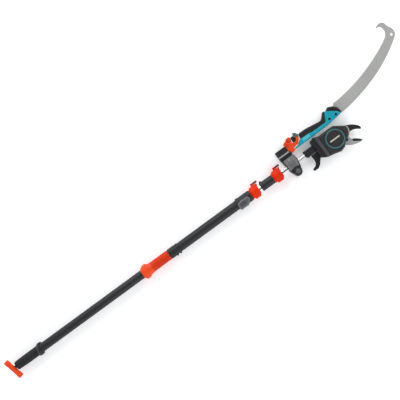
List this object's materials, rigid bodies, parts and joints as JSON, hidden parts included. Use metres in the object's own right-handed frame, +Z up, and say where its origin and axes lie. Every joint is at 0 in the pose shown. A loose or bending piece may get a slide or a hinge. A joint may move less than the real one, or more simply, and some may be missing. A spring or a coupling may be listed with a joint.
{
  "type": "telescoping pole saw and pruner",
  "caption": "Telescoping pole with a strap-driven bypass pruning head, a sliding pull grip and a hook-tipped curved pull saw held beside the head by a clamp-on adapter.",
  "frame": {"origin": "on the floor under the middle of the tool lying on its back", "axes": "+X along the pole toward the cutting end, +Y toward the saw side, +Z up, through the face of the head"},
  "size_m": [1.7041, 0.2829, 0.0615],
  "materials": {
    "black_rubber": "soft touch",
    "anthracite_paint": "satin",
    "dark_plastic": "fine grain",
    "black_plastic": "fine grain",
    "light_grey_plastic": "fine grain",
    "grey_plastic": "fine grain",
    "orange_plastic": "semi gloss",
    "dark_red_plastic": "semi gloss",
    "teal_plastic": "semi gloss",
    "green_grey_plastic": "fine grain",
    "natural_aluminium": "drawn",
    "steel": "ground",
    "dark_steel": "blackened",
    "cream_plastic": "plain",
    "webbing": "woven"
  },
  "bodies": {
    "pole": {"end_grip": "black_rubber", "grip_ring": "light_grey_plastic", "outer_tube": "anthracite_paint", "end_collar": "dark_plastic", "mid_sleeve": "dark_plastic", "clamp_housing": "dark_plastic", "housing_cover": "dark_plastic", "clamp1_collar": "orange_plastic", "clamp1_pin": "dark_red_plastic"},
    "tee": {"tee_bar": "orange_plastic", "tee_plug": "black_plastic", "tee_strap": "webbing"},
    "pull": {"pull_sleeve": "orange_plastic", "pull_collar": "orange_plastic", "pull_lug": "steel"},
    "lever1": {"clamp1_lever": "orange_plastic"},
    "stage2": {"tube_two": "natural_aluminium", "tube_two_bush": "light_grey_plastic", "sleeve_two": "dark_plastic", "clamp2_collar": "orange_plastic", "clamp2_pin": "dark_red_plastic"},
    "lever2": {"clamp2_lever": "orange_plastic"},
    "stage3": {"tube_three": "natural_aluminium", "head_rod": "natural_aluminium", "pull_strap": "webbing", "adapter_body": "grey_plastic", "adapter_band": "black_plastic", "adapter_bar": "light_grey_plastic", "adapter_block": "dark_plastic", "adapter_screw": "steel", "neck": "dark_plastic", "neck_bar": "light_grey_plastic", "branch_hook": "black_plastic", "tilt_pin": "steel"},
    "knob": {"adapter_knob": "black_plastic", "knob_insert": "grey_plastic", "knob_stud": "steel"},
    "saw": {"coupling_body": "orange_plastic", "coupling_core": "black_plastic", "lock_tab": "green_grey_plastic", "saw_handle": "teal_plastic", "saw_grip": "black_rubber", "saw_guard": "black_plastic", "saw_blade": "steel", "saw_screws": "dark_steel"},
    "saw_knob": {"coupling_knob": "orange_plastic"},
    "head": {"head_front": "dark_plastic", "head_back": "dark_plastic", "head_core": "black_plastic", "drum_axle": "steel", "teal_ring": "teal_plastic", "disc_cover": "black_plastic", "edge_strip": "cream_plastic", "hook_jaw": "black_plastic", "pivot_bolt": "dark_steel", "head_screws": "dark_steel"},
    "drum": {"strap_drum": "black_plastic"},
    "cutter": {"cutter_blade": "steel"}
  },
  "joints": [
    {"name": "grip_pull", "type": "slide", "parent": "pole", "child": "pull", "axis": [-1, 0, 0], "range_m": [0, 0.38], "stiffness_N_per_m": 30, "springref_m": -0.05},
    {"name": "tee_pull", "type": "slide", "parent": "pole", "child": "tee", "axis": [-1, 0, 0], "range_m": [0, 0.25], "stiffness_N_per_m": 30, "springref_m": -0.05},
    {"name": "lever1_flip", "type": "hinge", "parent": "pole", "child": "lever1", "pos_m": [0.1625, -0.04185, 0.025], "axis": [-1, 0, 0], "range_deg": [0, 100]},
    {"name": "stage2_slide", "type": "slide", "parent": "pole", "child": "stage2", "axis": [1, 0, 0], "range_m": [0, 0.55]},
    {"name": "lever2_flip", "type": "hinge", "parent": "stage2", "child": "lever2", "pos_m": [0.254, -0.04185, 0.025], "axis": [-1, 0, 0], "range_deg": [0, 100]},
    {"name": "stage3_slide", "type": "slide", "parent": "stage2", "child": "stage3", "axis": [1, 0, 0], "range_m": [0, 0.5]},
    {"name": "knob_turn", "type": "hinge", "parent": "stage3", "child": "knob", "pos_m": [0.3163, -0.09645, 0.047], "axis": [0, 0, 1], "continuous": true},
    {"name": "saw_release", "type": "slide", "parent": "stage3", "child": "saw", "axis": [1, 0, 0], "range_m": [0, 0.03]},
    {"name": "saw_knob_turn", "type": "hinge", "parent": "saw", "child": "saw_knob", "pos_m": [0.3524, -0.00395, 0.026], "axis": [0, 1, 0], "continuous": true},
    {"name": "head_tilt", "type": "hinge", "parent": "stage3", "child": "head", "pos_m": [0.423, -0.06885, 0.025], "axis": [0, 0, -1], "range_deg": [0, 60]},
    {"name": "drum_spin", "type": "hinge", "parent": "head", "child": "drum", "pos_m": [0.4782, -0.08215, 0.025], "axis": [0, 0, 1], "range_deg": [0, 1310]},
    {"name": "cutter_close", "type": "hinge", "parent": "head", "child": "cutter", "pos_m": [0.51, -0.10835, 0.025], "axis": [0, 0, 1], "range_deg": [0, 60]}
  ],
  "couplings": [
    {"joint": "drum_spin", "follows": "grip_pull", "rad_per_m": 60},
    {"joint": "cutter_close", "follows": "grip_pull", "rad_per_m": 2.75}
  ]
}
